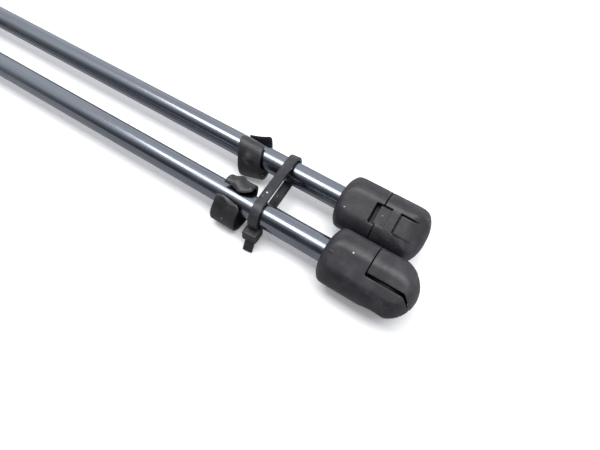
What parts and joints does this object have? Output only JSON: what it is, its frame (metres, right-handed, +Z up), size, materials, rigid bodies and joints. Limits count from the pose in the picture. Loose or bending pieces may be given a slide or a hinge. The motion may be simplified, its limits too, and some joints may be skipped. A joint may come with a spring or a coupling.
{
  "type": "gas strut pair",
  "caption": "Pair of gas struts with plastic ball sockets at both ends, lying side by side, held by a cable tie round the rods, with an open clip on each rod.",
  "frame": {"origin": "under the middle of the pair, on the plane the sockets lie on", "axes": "+X along both struts toward the rod ends, +Y from the near strut to the far strut, +Z up"},
  "size_m": [0.5244, 0.0406, 0.02],
  "materials": {
    "dark_polished_steel": "dark blue-grey case-hardened and polished rod, mirror bright along it with faint handling smears",
    "plain_steel": "plain pressed steel",
    "black_paint": "semi-gloss black paint with light handling scuffs",
    "sintered_alloy": "plain machined light alloy",
    "black_rubber": "matte oiled nitrile rubber",
    "white_guide_plastic": "natural bearing plastic",
    "amber_ring_plastic": "filled PTFE ring",
    "black_socket_plastic": "fine satin grain, mould line, dust specks",
    "black_lock_plastic": "fine satin grain, dust specks",
    "black_clip_plastic": "smooth satin, whitened stress crease",
    "black_tie_nylon": "satin nylon with a ratchet-toothed inner face"
  },
  "bodies": {
    "tied_rods": {"near_piston_rod": "dark_polished_steel", "near_stop_ring": "plain_steel", "near_support_washer": "plain_steel", "near_piston": "sintered_alloy", "near_valve_disc": "plain_steel", "near_rivet_collar": "plain_steel", "near_rod_end_socket": "black_socket_plastic", "far_piston_rod": "dark_polished_steel", "far_stop_ring": "plain_steel", "far_support_washer": "plain_steel", "far_piston": "sintered_alloy", "far_valve_disc": "plain_steel", "far_rivet_collar": "plain_steel", "far_rod_end_socket": "black_socket_plastic", "near_rod_end_lock": "black_lock_plastic", "cable_tie": "black_tie_nylon"},
    "near_ring": {"near_piston_ring": "amber_ring_plastic"},
    "near_cylinder": {"near_pressure_tube": "black_paint", "near_rod_guide": "white_guide_plastic", "near_seal_washer": "plain_steel", "near_rod_seal": "black_rubber", "near_seal_retainer": "plain_steel", "near_end_plug": "sintered_alloy", "near_end_plug_seal": "black_rubber", "near_tube_end_socket": "black_socket_plastic"},
    "near_clip": {"near_rod_clip": "black_clip_plastic"},
    "near_tube_lock": {"near_tube_end_lock": "black_lock_plastic"},
    "far_ring": {"far_piston_ring": "amber_ring_plastic"},
    "far_cylinder": {"far_pressure_tube": "black_paint", "far_rod_guide": "white_guide_plastic", "far_seal_washer": "plain_steel", "far_rod_seal": "black_rubber", "far_seal_retainer": "plain_steel", "far_end_plug": "sintered_alloy", "far_end_plug_seal": "black_rubber", "far_tube_end_socket": "black_socket_plastic"},
    "far_clip": {"far_rod_clip": "black_clip_plastic"},
    "far_tube_lock": {"far_tube_end_lock": "black_lock_plastic"},
    "far_rod_lock": {"far_rod_end_lock": "black_lock_plastic"}
  },
  "joints": [
    {"name": "near_turn", "type": "hinge", "parent": "tied_rods", "child": "near_ring", "pos_m": [0.2532, -0.01025, 0.01003], "axis": [1, 0, 0], "continuous": true},
    {"name": "near_stroke", "type": "slide", "parent": "near_ring", "child": "near_cylinder", "axis": [1, 0, 0], "range_m": [0, 0.15], "stiffness_N_per_m": 40, "springref_m": -0.5},
    {"name": "near_tube_lock_lift", "type": "slide", "parent": "near_cylinder", "child": "near_tube_lock", "axis": [0, -0.5592, 0.829], "range_m": [0, 0.001]},
    {"name": "near_clip_slide", "type": "slide", "parent": "tied_rods", "child": "near_clip", "axis": [1, 0, 0], "range_m": [-0.01, 0.0006]},
    {"name": "far_turn", "type": "hinge", "parent": "tied_rods", "child": "far_ring", "pos_m": [0.2468, 0.01025, 0.01003], "axis": [1, 0, 0], "continuous": true},
    {"name": "far_stroke", "type": "slide", "parent": "far_ring", "child": "far_cylinder", "axis": [1, 0, 0], "range_m": [0, 0.15], "stiffness_N_per_m": 40, "springref_m": -0.5},
    {"name": "far_tube_lock_lift", "type": "slide", "parent": "far_cylinder", "child": "far_tube_lock", "axis": [0, -0.5592, 0.829], "range_m": [0, 0.001]},
    {"name": "far_clip_slide", "type": "slide", "parent": "tied_rods", "child": "far_clip", "axis": [1, 0, 0], "range_m": [-0.01, 0.004]},
    {"name": "far_rod_lock_lift", "type": "slide", "parent": "tied_rods", "child": "far_rod_lock", "axis": [0, -0.5592, 0.829], "range_m": [0, 0.001]}
  ]
}
